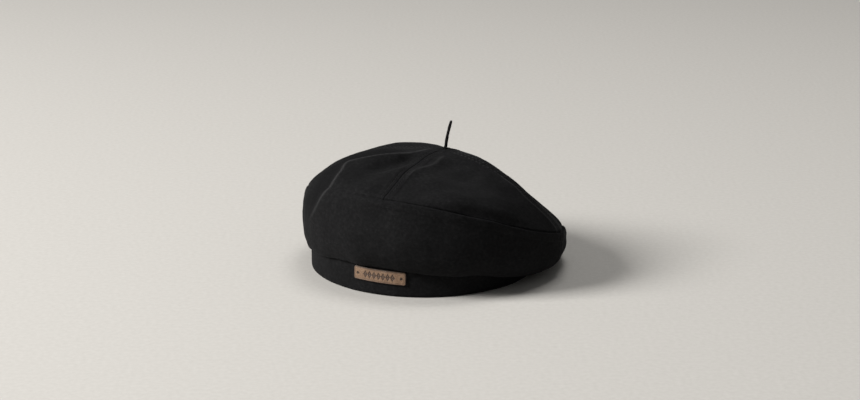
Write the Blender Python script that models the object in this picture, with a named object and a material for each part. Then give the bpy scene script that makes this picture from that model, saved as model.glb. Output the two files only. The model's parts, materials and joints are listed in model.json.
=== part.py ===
"""A wool beret with a wide, slouched crown, a turned headband and a leather tag.

Metres, +Z up, +X to the wearer's left, -Y towards the front.  The beret stands on its
headband's hem at Z = 0.  Every piece is sewn from flat cloth, so each one is a thin
closed shell.  All of them are measured from the axis of the headband.  Left and right
in the names are as seen from the front.
"""

from collections import namedtuple
from math import atan2, cos, degrees, pi, radians, sin

import bmesh
import bpy
from mathutils import Vector

MM = 0.001
GAP = 0.3 * MM

# Where the headband's axis stands, so that the box around the whole beret is centred.
BAND_AXIS = Vector((-8.9, -2.8, 0.0)) * MM

# Headband, from the wool outside to the ribbon that touches the head (size 57).
BAND_RADIUS = 94.5 * MM
BAND_HEIGHT = 28.0 * MM
WOOL = 1.5 * MM
STIFFENER = 0.9 * MM
RIBBON = 1.0 * MM
HEM_TURN_UP = 6.0 * MM
SWEATBAND_TOP = 30.0 * MM

# Crown: the stalk's root, the four seams between the top panels, the two side seams.
STALK_ROOT = Vector((18.5, 12.0, 95.5)) * MM
FIRST_SEAM = -109.0
QUARTER = 90.0
CROWN_DROP = 1.7
PUFF_SHIFT = 1.6
SEAM_TURN = -17.0
TURN_SHARE = 1.7
STALK_HOLE = 2.2 * MM

# Every ring is divided alike, so that nested rings keep their gap all the way round.
QUARTER_STEPS = 14
RING_STEPS = 4 * QUARTER_STEPS

# The sewn shape at twelve angles around the head (0 front, 90 the wearer's left), as
# radius and height in millimetres: the rim seam, the widest point of the side, the fold
# that hangs over the headband, and how far the top is puffed above a plain slope.
Guide = namedtuple("Guide", "angle rim side fold puff")
GUIDES = (
    Guide(-150, (104.5, 50.5), (110, 32), (102, 14.5), 8.5),
    Guide(-120, (101.5, 59), (105.5, 40.5), (100, 17.5), 8.5),
    Guide(-90, (100, 67), (102, 47.5), (99, 21), 11.5),
    Guide(-60, (98.5, 81), (102, 52.5), (99, 25), 7),
    Guide(-30, (98, 84), (104.5, 54), (100, 27), 0.5),
    Guide(0, (100, 78), (107.5, 50), (101, 24), 0.5),
    Guide(30, (108, 64.5), (113, 41.5), (103.5, 18.5), 1.5),
    Guide(60, (120, 44), (119.5, 30), (109.5, 9.5), 2.5),
    Guide(90, (117, 30), (120, 22), (110, 8.5), -1),
    Guide(120, (112.5, 26), (119, 16.5), (110, 7), -5),
    Guide(150, (110, 28), (116.5, 18), (108, 8.5), -3),
    Guide(180, (107, 37.5), (113.5, 22), (105, 10), 5),
)
GUIDE_STEP = 30.0

# Stalk: a sewn rouleau that leans to the wearer's left.
STALK_RADIUS = 1.5 * MM
STALK_LENGTH = 24.0 * MM
STALK_LEAN = 4.6 * MM
ANCHOR_RADIUS = 6.0 * MM
ANCHOR_DROP = 3.4 * MM
ANCHOR_THICKNESS = 1.2 * MM

# Leather tag on the front of the headband.
TAG_ANGLE = -21.9
TAG_TILT = 1.6
TAG_LENGTH = 45.0 * MM
TAG_HEIGHT = 11.0 * MM
TAG_THICKNESS = 1.5 * MM
TAG_MIDDLE = 16.3 * MM
TAG_CORNER = 1.6 * MM
TAG_HOLE = 1.1 * MM
TAG_HOLE_INSET = 3.7 * MM
TAG_THREAD = 0.75 * MM

# Lining and woven labels.
LINING = 0.6 * MM
LINING_SEAM = 0.84
LABEL_THICKNESS = 0.4 * MM
LABEL_TOP = 29.0 * MM


# ---------------------------------------------------------------- materials


def cloth(name, colour, roughness):
    """A plain Principled material, one for each kind of cloth."""
    material = bpy.data.materials.new(name)
    material.use_nodes = True
    shader = material.node_tree.nodes["Principled BSDF"]
    shader.inputs["Base Color"].default_value = (*colour, 1.0)
    shader.inputs["Roughness"].default_value = roughness
    shader.inputs["Metallic"].default_value = 0.0
    material.diffuse_color = (*colour, 1.0)
    return material


# ---------------------------------------------------------------- curves


def direction(angle):
    """Unit vector, level, at an angle around the head measured from the front."""
    turn = radians(angle)
    return Vector((sin(turn), -cos(turn), 0.0))


def polar(angle, radius, height):
    return direction(angle) * radius + Vector((0.0, 0.0, height))


def through(before, start, end, after, part):
    """Catmull-Rom value between start and end."""
    slope = end - before
    bend = 2.0 * before - 5.0 * start + 4.0 * end - after
    twist = 3.0 * (start - end) + after - before
    return start + 0.5 * part * (slope + part * (bend + part * twist))


def guide_value(angle, pick):
    """One guide measure at any angle, smooth and closed around the head."""
    place = ((angle - GUIDES[0].angle) / GUIDE_STEP) % len(GUIDES)
    index = int(place)
    near = [pick(GUIDES[(index + offset) % len(GUIDES)]) for offset in (-1, 0, 1, 2)]
    return through(*near, place - index)


def guide_point(angle, name):
    """Radius and height of the rim, side or fold at any angle, in metres."""
    radius = guide_value(angle, lambda guide: getattr(guide, name)[0])
    height = guide_value(angle, lambda guide: getattr(guide, name)[1])
    return radius * MM, height * MM


def spline(controls, part):
    """Cubic B-spline that starts and ends on its first and last control point."""
    before = [2.0 * a - b for a, b in zip(controls[0], controls[1])]
    after = [2.0 * a - b for a, b in zip(controls[-1], controls[-2])]
    padded = [before, *controls, after]
    place = part * (len(controls) - 1)
    index = min(int(place), len(controls) - 2)
    t = place - index
    weights = (
        (1.0 - t) ** 3,
        3.0 * t**3 - 6.0 * t**2 + 4.0,
        -3.0 * t**3 + 3.0 * t**2 + 3.0 * t + 1.0,
        t**3,
    )
    near = padded[index : index + 4]
    return tuple(sum(w * point[axis] for w, point in zip(weights, near)) / 6.0 for axis in (0, 1))


# ---------------------------------------------------------------- surfaces


def crown_top(angle, part):
    """Outer face of the top: part 0 is the stalk's root, part 1 the rim seam."""
    rim = polar(angle, *guide_point(angle, "rim"))
    puff = guide_value(angle, lambda guide: guide.puff) * MM
    point = STALK_ROOT.lerp(rim, part)
    slope = (rim.z - STALK_ROOT.z) * part**CROWN_DROP
    point.z = STALK_ROOT.z + slope + puff * sin(pi * part**PUFF_SHIFT)
    return point


def turned(angle, part):
    """Angle at which a line of the top runs, swung round more the nearer it is to the stalk."""
    return angle + SEAM_TURN * (1.0 - part) ** TURN_SHARE


def crown_side(angle, part):
    """Outer face of the side: part 0 is the headband seam, part 1 the rim seam."""
    rim = guide_point(angle, "rim")
    side = guide_point(angle, "side")
    fold = guide_point(angle, "fold")
    start = BAND_HEIGHT + GAP
    controls = (
        (BAND_RADIUS, start),
        (BAND_RADIUS, start + 4.0 * MM),
        (BAND_RADIUS + 3.3 * MM, start + 4.5 * MM),
        (BAND_RADIUS + 1.2 * MM, fold[1] + 0.5 * MM),
        (BAND_RADIUS + 1.9 * MM, fold[1] - 3.5 * MM),
        (fold[0], fold[1] - 3.5 * MM),
        (side[0], 0.35 * side[1] + 0.65 * fold[1]),
        side,
        (0.5 * (rim[0] + side[0]), 0.5 * (rim[1] + side[1])),
        rim,
    )
    return polar(angle, *spline(controls, part))


def lining_top(angle, part):
    """Upper face of the lining's disc, which hangs lowest under the stalk."""
    point = crown_top(angle, LINING_SEAM * part)
    point.z -= 3.4 * MM + 4.0 * MM * (1.0 - part) ** 2
    return point


def lining_side(angle, part):
    """Outer face of the lining's wall, from the sweatband up to the disc."""
    disc = lining_top(angle, 1.0)
    radius = Vector((disc.x, disc.y)).length
    lean = degrees(atan2(disc.x, -disc.y)) - angle
    lean = (lean + 180.0) % 360.0 - 180.0
    controls = (
        (BAND_RADIUS - WOOL - STIFFENER - 2.0 * GAP, SWEATBAND_TOP + GAP),
        (BAND_RADIUS - WOOL - STIFFENER - 2.0 * GAP, SWEATBAND_TOP + 6.0 * MM),
        (BAND_RADIUS + 2.0 * MM, 0.5 * (disc.z + SWEATBAND_TOP + 6.0 * MM)),
        (radius, disc.z - 3.0 * LINING - GAP),
    )
    return polar(angle + lean * part, *spline(controls, part))


def facing(surface, angle, part, side):
    """Unit normal of a surface, worked out on the given side of a part value."""
    step = 0.01
    near = part if side > 0 else part - step
    around = surface(angle + 0.5, part) - surface(angle - 0.5, part)
    along = surface(angle, near + step) - surface(angle, near)
    return around.cross(along).normalized()


def top_normal(angle, part):
    return -facing(crown_top, angle, max(part, 0.01), -1)


def side_normal(angle, part):
    return facing(crown_side, angle, part, 1 if part < 0.5 else -1)


def mitre(angle):
    """Inward step at the rim seam, long enough for both panels to keep their cloth."""
    mean = (top_normal(angle, 1.0) + side_normal(angle, 1.0)).normalized()
    return mean / max(mean.dot(side_normal(angle, 1.0)), 0.6)


# ---------------------------------------------------------------- mesh building


def add_object(name, bm, material, parent, smooth=True):
    """Turn a bmesh into a named object with its faces pointing out."""
    bmesh.ops.recalc_face_normals(bm, faces=bm.faces)
    mesh = bpy.data.meshes.new(name)
    bm.to_mesh(mesh)
    bm.free()
    if smooth:
        mesh.shade_smooth()
        mesh.set_sharp_from_angle(angle=radians(40.0))
    mesh.materials.append(material)
    piece = bpy.data.objects.new(name, mesh)
    bpy.context.scene.collection.objects.link(piece)
    piece.parent = parent
    return piece


def loft(bm, sections, closed):
    """Join sections, each a pair of outer and inner rows, into one closed shell."""
    rows = []
    for outer, inner in sections:
        outer_verts = [bm.verts.new(point) for point in outer]
        inner_verts = [bm.verts.new(point) for point in inner]
        rows.append(outer_verts + inner_verts[::-1])
    following = rows[1:] + rows[:1] if closed else rows[1:]
    size = len(rows[0])
    for near, far in zip(rows, following):
        for index in range(size):
            after = (index + 1) % size
            bm.faces.new((near[index], far[index], far[after], near[after]))
    if not closed:
        half = size // 2
        for row in (rows[0], rows[-1]):
            for index in range(half - 1):
                strip = (row[index], row[index + 1], row[-index - 2], row[-index - 1])
                bm.faces.new(strip)


def seam_inset(surface, angle, part):
    """Degrees that move a point half a seam gap around the head."""
    arc = (surface(angle + 0.5, part) - surface(angle - 0.5, part)).length
    return 0.5 * GAP / arc


def panel_sections(surface, inward, start, end, steps, parts):
    """Sections of a sewn panel between two seams, half a gap clear of each seam."""
    sections = []
    for step in range(steps + 1):
        share = step / steps
        outer = []
        inner = []
        for part in parts:
            near = start + seam_inset(surface, start, part)
            far = end - seam_inset(surface, end, part)
            angle = near + (far - near) * share
            point = surface(angle, part)
            outer.append(point)
            inner.append(point + inward(angle, part))
        sections.append((outer, inner))
    return sections


def ring(name, profile, material, parent):
    """A closed outline of radius and height points, spun around the headband's axis."""
    bm = bmesh.new()
    verts = [bm.verts.new(polar(FIRST_SEAM, *point)) for point in profile]
    edges = [bm.edges.new((a, b)) for a, b in zip(verts, verts[1:] + verts[:1])]
    bmesh.ops.spin(
        bm,
        geom=verts + edges,
        cent=(0.0, 0.0, 0.0),
        axis=(0.0, 0.0, 1.0),
        angle=2.0 * pi,
        steps=RING_STEPS,
        use_merge=True,
    )
    return add_object(name, bm, material, parent)


# ---------------------------------------------------------------- wool shell


def make_top_panel(name, index, material, parent):
    """One of the four quarter panels that meet under the stalk."""
    start = FIRST_SEAM + QUARTER * index
    steps = 10
    reach = (crown_top(start + 0.5 * QUARTER, 1.0) - STALK_ROOT).length
    first = STALK_HOLE / reach
    last = 1.0 - 0.5 * GAP / reach

    def inward(angle, part):
        if part > last - 1e-6:
            return mitre(angle) * -WOOL
        return top_normal(turned(angle, part), part) * -WOOL

    def surface(angle, part):
        return crown_top(turned(angle, part), part)

    parts = [first + (last - first) * (step / steps) for step in range(steps + 1)]
    bm = bmesh.new()
    loft(bm, panel_sections(surface, inward, start, start + QUARTER, QUARTER_STEPS, parts), False)
    return add_object(name, bm, material, parent)


def make_side_panel(name, start, material, parent):
    """Half of the side, which hangs over the headband in a fold and runs up to the rim."""
    steps = 18
    height = (crown_side(start, 1.0) - crown_side(start, 1.0 - 1.0 / steps)).length * steps
    last = 1.0 - 0.5 * GAP / height

    def inward(angle, part):
        if part > last - 1e-6:
            return mitre(angle) * -WOOL
        return side_normal(angle, part) * -WOOL

    parts = [last * step / steps for step in range(steps + 1)]
    bm = bmesh.new()
    sections = panel_sections(crown_side, inward, start, start + 2 * QUARTER, 2 * QUARTER_STEPS, parts)
    loft(bm, sections, False)
    return add_object(name, bm, material, parent)


def make_headband(material, parent):
    """Wool strip, folded up inside at the hem."""
    outside = BAND_RADIUS
    behind = BAND_RADIUS - WOOL
    turn_out = behind - STIFFENER - 2.0 * GAP
    turn_in = turn_out - RIBBON
    bevel = 0.5 * MM
    profile = (
        (outside, BAND_HEIGHT),
        (outside, bevel),
        (outside - bevel, 0.0),
        (turn_in + bevel, 0.0),
        (turn_in, bevel),
        (turn_in, HEM_TURN_UP),
        (turn_out, HEM_TURN_UP),
        (turn_out, WOOL),
        (behind, WOOL),
        (behind, BAND_HEIGHT),
    )
    return ring("headband_outer", profile, material, parent)


def plain_ring(name, outside, thickness, low, high, material, parent):
    """A straight strip sewn into a ring."""
    inside = outside - thickness
    profile = ((outside, high), (outside, low), (inside, low), (inside, high))
    return ring(name, profile, material, parent)


# ---------------------------------------------------------------- lining


def make_lining_side(material, parent):
    parts = [step / 6 for step in range(7)]
    bm = bmesh.new()
    sections = []
    for step in range(RING_STEPS):
        angle = FIRST_SEAM + 360.0 * step / RING_STEPS
        outer = [lining_side(angle, part) for part in parts]
        normals = [facing(lining_side, angle, part, 1 if part < 0.5 else -1) for part in parts]
        inner = [point - normal * LINING for point, normal in zip(outer, normals)]
        sections.append((outer, inner))
    loft(bm, sections, True)
    return add_object("lining_side", bm, material, parent)


def make_lining_top(material, parent):
    """The lining's disc, closed at its middle."""
    parts = [0.06 + 0.94 * step / 6 for step in range(7)]
    drop = Vector((0.0, 0.0, LINING))
    bm = bmesh.new()
    outer_rings = []
    inner_rings = []
    for part in parts:
        points = [
            lining_top(FIRST_SEAM + 360.0 * step / RING_STEPS, part) for step in range(RING_STEPS)
        ]
        outer_rings.append([bm.verts.new(point) for point in points])
        inner_rings.append([bm.verts.new(point - drop) for point in points])
    walls = outer_rings + inner_rings[::-1]
    for near, far in zip(walls, walls[1:]):
        for index in range(RING_STEPS):
            after = (index + 1) % RING_STEPS
            bm.faces.new((near[index], near[after], far[after], far[index]))
    for rim in (outer_rings[0], inner_rings[0]):
        middle = bm.verts.new(sum((vert.co for vert in rim), Vector()) / RING_STEPS)
        for near, far in zip(rim, rim[1:] + rim[:1]):
            bm.faces.new((near, far, middle))
    return add_object("lining_crown", bm, material, parent)


# ---------------------------------------------------------------- stalk


def make_stalk(material, parent):
    """Leaning stalk whose origin is where it bends, at the crown's outer face."""
    sides = 10
    steps = 8
    bm = bmesh.new()
    rings = []

    def add_ring(centre, radius):
        turns = (2.0 * pi * side / sides for side in range(sides))
        rings.append(
            [bm.verts.new(centre + Vector((cos(t), sin(t), 0.0)) * radius) for t in turns]
        )

    for rounding in (60.0, 30.0):
        depth = sin(radians(rounding)) * STALK_RADIUS
        add_ring(Vector((0.0, 0.0, -depth)), cos(radians(rounding)) * STALK_RADIUS)
    for step in range(steps + 1):
        share = step / steps
        centre = Vector((STALK_LEAN * share**1.5, 0.0, STALK_LENGTH * share))
        add_ring(centre, STALK_RADIUS * (1.0 - 0.12 * share))
    tip = Vector((STALK_LEAN, 0.0, STALK_LENGTH))
    add_ring(tip + Vector((0.0, 0.0, 0.6 * MM)), 0.6 * STALK_RADIUS)
    for near, far in zip(rings, rings[1:]):
        for index in range(sides):
            after = (index + 1) % sides
            bm.faces.new((near[index], near[after], far[after], far[index]))
    bm.faces.new(rings[0])
    bm.faces.new(rings[-1])
    stalk = add_object("stem", bm, material, parent)
    stalk.location = STALK_ROOT
    return stalk


def make_anchor(material, parent):
    """Round patch under the crown that the stalk's thread is tied through."""
    bm = bmesh.new()
    bmesh.ops.create_cone(
        bm,
        cap_ends=True,
        segments=20,
        radius1=ANCHOR_RADIUS,
        radius2=ANCHOR_RADIUS - 0.4 * MM,
        depth=ANCHOR_THICKNESS,
    )
    anchor = add_object("stem_anchor", bm, material, parent)
    anchor.location = STALK_ROOT - Vector((0.0, 0.0, ANCHOR_DROP + 0.5 * ANCHOR_THICKNESS))
    return anchor


# ---------------------------------------------------------------- leather tag


def tag_outline():
    """Rounded rectangle, as points along the band and above the tag's middle."""
    half_length = 0.5 * TAG_LENGTH - TAG_CORNER
    half_height = 0.5 * TAG_HEIGHT - TAG_CORNER
    points = []
    for quarter in range(4):
        side = 1.0 if quarter in (0, 3) else -1.0
        level = 1.0 if quarter < 2 else -1.0
        for step in range(4):
            turn = radians(QUARTER * (quarter + step / 3))
            along = side * half_length + TAG_CORNER * cos(turn)
            points.append((along, level * half_height + TAG_CORNER * sin(turn)))
    return points


def tilted(along, level):
    """A point of the tag, drawn level, on the tag as it is sewn, lower at its right end."""
    turn = radians(TAG_TILT)
    return along * cos(turn) + level * sin(turn), level * cos(turn) - along * sin(turn)


def bend_round_band(piece, base):
    """Wrap a piece drawn flat, X along the band and Z out of it, around the headband."""
    for vert in piece.data.vertices:
        along, level = tilted(vert.co.x, vert.co.y)
        vert.co = polar(degrees(along / base), base + vert.co.z, level)


def make_tag(material, parent):
    """Leather tag, cut flat, punched near both ends and bent round the band."""
    bm = bmesh.new()
    columns = 12
    length = 0.5 * TAG_LENGTH
    outline = [bm.verts.new((along, level, 0.0)) for along, level in tag_outline()]
    bm.faces.new(outline)
    for column in range(1, columns):
        place = length * (2.0 * column / columns - 1.0)
        bmesh.ops.bisect_plane(
            bm,
            geom=bm.verts[:] + bm.edges[:] + bm.faces[:],
            plane_co=(place, 0.0, 0.0),
            plane_no=(1.0, 0.0, 0.0),
            dist=1e-7,
        )
    extruded = bmesh.ops.extrude_face_region(bm, geom=bm.faces[:])
    lifted = [item for item in extruded["geom"] if isinstance(item, bmesh.types.BMVert)]
    bmesh.ops.translate(bm, verts=lifted, vec=(0.0, 0.0, TAG_THICKNESS))
    tag = add_object("leather_tag", bm, material, parent, smooth=False)
    punch_holes(tag, parent)
    return tag


def punch_holes(tag, parent):
    """Cut the two sewing holes while the tag is flat, then bend it."""
    for side in (-1.0, 1.0):
        bm = bmesh.new()
        bmesh.ops.create_cone(
            bm, cap_ends=True, segments=12, radius1=TAG_HOLE, radius2=TAG_HOLE, depth=6.0 * MM
        )
        cutter = add_object("punch", bm, tag.data.materials[0], parent, smooth=False)
        cutter.location = (side * (0.5 * TAG_LENGTH - TAG_HOLE_INSET), 0.0, 0.0)
        cutter.hide_render = True
        cutter.display_type = "WIRE"
        boolean = tag.modifiers.new("hole", "BOOLEAN")
        boolean.object = cutter
        boolean.operation = "DIFFERENCE"
    bpy.context.view_layer.update()
    cut = bpy.data.meshes.new_from_object(tag.evaluated_get(bpy.context.evaluated_depsgraph_get()))
    for modifier in list(tag.modifiers):
        bpy.data.objects.remove(modifier.object)
        tag.modifiers.remove(modifier)
    tag.data = cut
    bend_round_band(tag, BAND_RADIUS + GAP)
    tag.rotation_euler.z = radians(TAG_ANGLE)
    tag.location.z = TAG_MIDDLE


def make_tag_thread(name, side, material, parent):
    """Sewn dot of waxed thread that fills one of the tag's holes and stands on it."""
    along, level = tilted(side * (0.5 * TAG_LENGTH - TAG_HOLE_INSET), 0.0)
    angle = TAG_ANGLE + degrees(along / BAND_RADIUS)
    length = TAG_THICKNESS + 0.7 * MM
    bm = bmesh.new()
    bmesh.ops.create_cone(
        bm, cap_ends=True, segments=10, radius1=TAG_THREAD, radius2=0.8 * TAG_THREAD, depth=length
    )
    thread = add_object(name, bm, material, parent)
    thread.location = polar(angle, BAND_RADIUS + GAP + 0.5 * length, TAG_MIDDLE + level)
    thread.rotation_euler = (pi / 2.0, 0.0, radians(angle))
    return thread


# ---------------------------------------------------------------- labels


def make_label(name, angle, width, length, material, parent):
    """Woven label that hangs inside the headband, hinged on its sewn top edge."""
    band_inside = BAND_RADIUS - WOOL - STIFFENER - RIBBON - 2.0 * GAP
    sag = band_inside - (band_inside**2 - (0.5 * width) ** 2) ** 0.5
    bm = bmesh.new()
    bmesh.ops.create_cube(bm, size=1.0)
    bmesh.ops.scale(bm, vec=(width, LABEL_THICKNESS, length), verts=bm.verts)
    bmesh.ops.translate(bm, vec=(0.0, 0.0, -0.5 * length), verts=bm.verts)
    label = add_object(name, bm, material, parent, smooth=False)
    label.location = polar(angle, band_inside - sag - GAP - LABEL_THICKNESS, LABEL_TOP)
    label.rotation_euler.z = radians(angle)
    return label


# ---------------------------------------------------------------- assembly


def build():
    for old in list(bpy.data.objects):
        bpy.data.objects.remove(old, do_unlink=True)
    axis = bpy.data.objects.new("headband_axis", None)
    axis.location = BAND_AXIS
    bpy.context.scene.collection.objects.link(axis)

    wool = cloth("charcoal wool", (0.020, 0.020, 0.022), 0.92)
    leather = cloth("tan leather", (0.38, 0.21, 0.11), 0.55)
    ribbon = cloth("black grosgrain", (0.012, 0.012, 0.013), 0.70)
    satin = cloth("black lining", (0.016, 0.016, 0.018), 0.38)
    stiffener = cloth("bonded stiffener", (0.55, 0.54, 0.51), 0.85)
    thread = cloth("brown thread", (0.10, 0.055, 0.030), 0.60)
    woven = cloth("woven label", (0.60, 0.58, 0.54), 0.75)

    names = ("front_left", "front_right", "back_right", "back_left")
    for index, name in enumerate(names):
        make_top_panel("crown_panel_" + name, index, wool, axis)
    make_side_panel("side_panel_front", FIRST_SEAM, wool, axis)
    make_side_panel("side_panel_back", FIRST_SEAM + 2 * QUARTER, wool, axis)

    make_headband(wool, axis)
    behind = BAND_RADIUS - WOOL - GAP
    plain_ring(
        "headband_interlining", behind, STIFFENER, WOOL + GAP, BAND_HEIGHT, stiffener, axis
    )
    inside = behind - STIFFENER - GAP
    plain_ring("sweatband", inside, RIBBON, HEM_TURN_UP + GAP, SWEATBAND_TOP, ribbon, axis)

    make_lining_side(satin, axis)
    make_lining_top(satin, axis)
    make_stalk(wool, axis)
    make_anchor(wool, axis)
    make_tag(leather, axis)
    make_tag_thread("tag_stitch_left", -1.0, thread, axis)
    make_tag_thread("tag_stitch_right", 1.0, thread, axis)
    make_label("care_label", 161.0, 25.0 * MM, 25.0 * MM, woven, axis)
    make_label("size_label", 180.0, 14.0 * MM, 10.0 * MM, woven, axis)


build()
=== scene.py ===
"""Looks of the wool beret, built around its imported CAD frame.

Metres, +Z up, -Y towards the front, +X to the wearer's left.  Each cloth piece is rebuilt
as a fine closed shell on the same sewn shape as its CAD solid, with its folds, seams and
thread sculpted into the mesh.  Lengths are written in millimetres and multiplied by MM.
"""

import json
from collections import namedtuple

import bpy
import numpy as np
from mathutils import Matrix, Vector


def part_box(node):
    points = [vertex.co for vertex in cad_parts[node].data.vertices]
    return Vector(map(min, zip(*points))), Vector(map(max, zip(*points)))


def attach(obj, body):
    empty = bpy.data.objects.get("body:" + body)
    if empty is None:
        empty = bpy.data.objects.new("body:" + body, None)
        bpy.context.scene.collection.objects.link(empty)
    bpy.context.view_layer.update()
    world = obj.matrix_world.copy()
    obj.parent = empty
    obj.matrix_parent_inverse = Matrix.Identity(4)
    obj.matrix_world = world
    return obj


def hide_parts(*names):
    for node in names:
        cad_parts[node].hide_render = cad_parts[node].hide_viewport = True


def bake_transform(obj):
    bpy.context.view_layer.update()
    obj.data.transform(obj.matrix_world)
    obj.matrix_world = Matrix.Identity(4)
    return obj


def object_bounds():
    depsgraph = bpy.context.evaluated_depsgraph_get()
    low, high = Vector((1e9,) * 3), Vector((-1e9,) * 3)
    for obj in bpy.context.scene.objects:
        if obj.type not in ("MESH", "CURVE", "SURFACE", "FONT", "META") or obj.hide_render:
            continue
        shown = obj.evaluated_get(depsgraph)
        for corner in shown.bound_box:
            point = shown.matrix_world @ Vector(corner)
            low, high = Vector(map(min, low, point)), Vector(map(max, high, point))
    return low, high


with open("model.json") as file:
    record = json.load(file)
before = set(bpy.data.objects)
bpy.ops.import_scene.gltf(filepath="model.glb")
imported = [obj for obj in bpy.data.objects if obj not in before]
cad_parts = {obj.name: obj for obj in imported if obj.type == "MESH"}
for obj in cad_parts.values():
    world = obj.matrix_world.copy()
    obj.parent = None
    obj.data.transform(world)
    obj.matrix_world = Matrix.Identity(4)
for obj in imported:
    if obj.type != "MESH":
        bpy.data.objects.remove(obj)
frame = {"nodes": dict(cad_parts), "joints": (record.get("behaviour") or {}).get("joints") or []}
CAD_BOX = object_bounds()

MM = 0.001


# ---------------------------------------------------------------- measures from the frame


def node_box(name):
    """Lowest and highest corner of a CAD node, as arrays."""
    low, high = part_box(name)
    return np.array(low), np.array(high)


JOINTS = {joint["name"]: joint for joint in frame["joints"]}
BAND_LOW, BAND_HIGH = node_box("headband_outer")
SWEATBAND_LOW, SWEATBAND_HIGH = node_box("sweatband")
TAG_LOW, TAG_HIGH = node_box("leather_tag")

AXIS = np.array([*(0.5 * (BAND_LOW + BAND_HIGH))[:2], 0.0])
BAND_RADIUS = 0.5 * (BAND_HIGH - BAND_LOW)[0]
BAND_HEIGHT = BAND_HIGH[2]
SWEATBAND_RADIUS = 0.5 * (SWEATBAND_HIGH - SWEATBAND_LOW)[0]
STALK_ROOT = np.array(JOINTS["stem_bend"]["pos_m"])
UP = np.array([0.0, 0.0, 1.0])

# Thickness of each cloth, and where the seams are: degrees around the head, 0 at the front.
WOOL = 1.5 * MM
RIBBON = 1.0 * MM
LINING = 0.6 * MM
FIRST_SEAM = -109.0
QUARTER = 90.0
SEAM_GAP = 0.1 * MM
TOPSTITCH = 3.0 * MM
TOPSTITCH_RADIUS = 0.24 * MM
STITCH_LENGTH = 2.8 * MM
STITCH_PITCH = 3.7 * MM
STITCH_RINGS = 8
STITCH_SIDES = 8

# The sewn shape, the same as the CAD's: the rim seam, the widest point of the side, the
# fold that hangs over the headband, and how far the top is puffed, every 30 degrees.
Guide = namedtuple("Guide", "angle rim side fold puff")
GUIDES = (
    Guide(-150, (104.5, 50.5), (110, 32), (102, 14.5), 8.5),
    Guide(-120, (101.5, 59), (105.5, 40.5), (100, 17.5), 8.5),
    Guide(-90, (100, 67), (102, 47.5), (99, 21), 11.5),
    Guide(-60, (98.5, 81), (102, 52.5), (99, 25), 7),
    Guide(-30, (98, 84), (104.5, 54), (100, 27), 0.5),
    Guide(0, (100, 78), (107.5, 50), (101, 24), 0.5),
    Guide(30, (108, 64.5), (113, 41.5), (103.5, 18.5), 1.5),
    Guide(60, (120, 44), (119.5, 30), (109.5, 9.5), 2.5),
    Guide(90, (117, 30), (120, 22), (110, 8.5), -1),
    Guide(120, (112.5, 26), (119, 16.5), (110, 7), -5),
    Guide(150, (110, 28), (116.5, 18), (108, 8.5), -3),
    Guide(180, (107, 37.5), (113.5, 22), (105, 10), 5),
)
GUIDE_STEP = 30.0
CROWN_DROP = 1.7
PUFF_SHIFT = 1.6
SEAM_TURN = -17.0
TURN_SHARE = 1.7


# ---------------------------------------------------------------- curves


def spline_weights(part):
    """Cubic B-spline weights of the four controls around a part value."""
    return (
        (1.0 - part) ** 3 / 6.0,
        (3.0 * part**3 - 6.0 * part**2 + 4.0) / 6.0,
        (-3.0 * part**3 + 3.0 * part**2 + 3.0 * part + 1.0) / 6.0,
        part**3 / 6.0,
    )


def closed_controls(values):
    """Controls of the smooth closed spline that passes through the given values."""
    one = np.eye(len(values))
    matrix = (4.0 * one + np.roll(one, 1, 0) + np.roll(one, -1, 0)) / 6.0
    return np.linalg.solve(matrix, np.asarray(values, float))


GUIDE_CONTROLS = {
    "rim": closed_controls([guide.rim for guide in GUIDES]) * MM,
    "side": closed_controls([guide.side for guide in GUIDES]) * MM,
    "fold": closed_controls([guide.fold for guide in GUIDES]) * MM,
    "puff": closed_controls([(guide.puff, 0.0) for guide in GUIDES]) * MM,
}


def guide_pair(angle, name):
    """Radius and height of the rim, side or fold at any angles."""
    place = ((angle - GUIDES[0].angle) / GUIDE_STEP) % len(GUIDES)
    index = np.floor(place).astype(int)
    controls = GUIDE_CONTROLS[name]
    total = 0.0
    for offset, weight in zip((-1, 0, 1, 2), spline_weights(place - index)):
        total = total + weight[..., None] * controls[(index + offset) % len(GUIDES)]
    return total[..., 0], total[..., 1]


def direction(angle):
    """Level unit vectors at angles around the head, measured from the front."""
    turn = np.radians(angle)
    return np.stack([np.sin(turn), -np.cos(turn), np.zeros_like(turn)], -1)


def polar(angle, radius, height):
    """Points around the headband's axis."""
    angle, radius, height = np.broadcast_arrays(angle, radius, height)
    points = AXIS + direction(angle) * radius[..., None]
    points[..., 2] = height
    return points


def open_spline(controls, part):
    """Points on a spline that starts and ends on its first and last control."""
    rows = np.array([[np.broadcast_to(value, part.shape) for value in pair] for pair in controls])
    before = 2.0 * rows[:1] - rows[1:2]
    after = 2.0 * rows[-1:] - rows[-2:-1]
    rows = np.concatenate([before, rows, after])
    place = part * (len(controls) - 1)
    index = np.clip(np.floor(place).astype(int), 0, len(controls) - 2)
    total = 0.0
    for offset, weight in enumerate(spline_weights(place - index)):
        total = total + weight * np.take_along_axis(rows, (index + offset)[None, None], 0)[0]
    return total


def smooth_path(points, count):
    """A smooth curve through a few points, as rows of coordinates."""
    points = np.asarray(points, float)
    padded = np.vstack([2 * points[0] - points[1], points, 2 * points[-1] - points[-2]])
    place = np.linspace(0.0, len(points) - 1.0, count)
    index = np.minimum(place.astype(int), len(points) - 2)
    t = (place - index)[:, None]
    a, b, c, d = (padded[index + offset] for offset in range(4))
    return b + 0.5 * t * (c - a + t * (2 * a - 5 * b + 4 * c - d + t * (3 * (b - c) + d - a)))


def ease(low, high, value):
    """0 below low, 1 above high, and smooth between."""
    t = np.clip((value - low) / (high - low), 0.0, 1.0)
    return t * t * (3.0 - 2.0 * t)


def hill(value, width):
    """A smooth bump of height 1 about zero."""
    return np.exp(-((value / width) ** 2))


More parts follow.
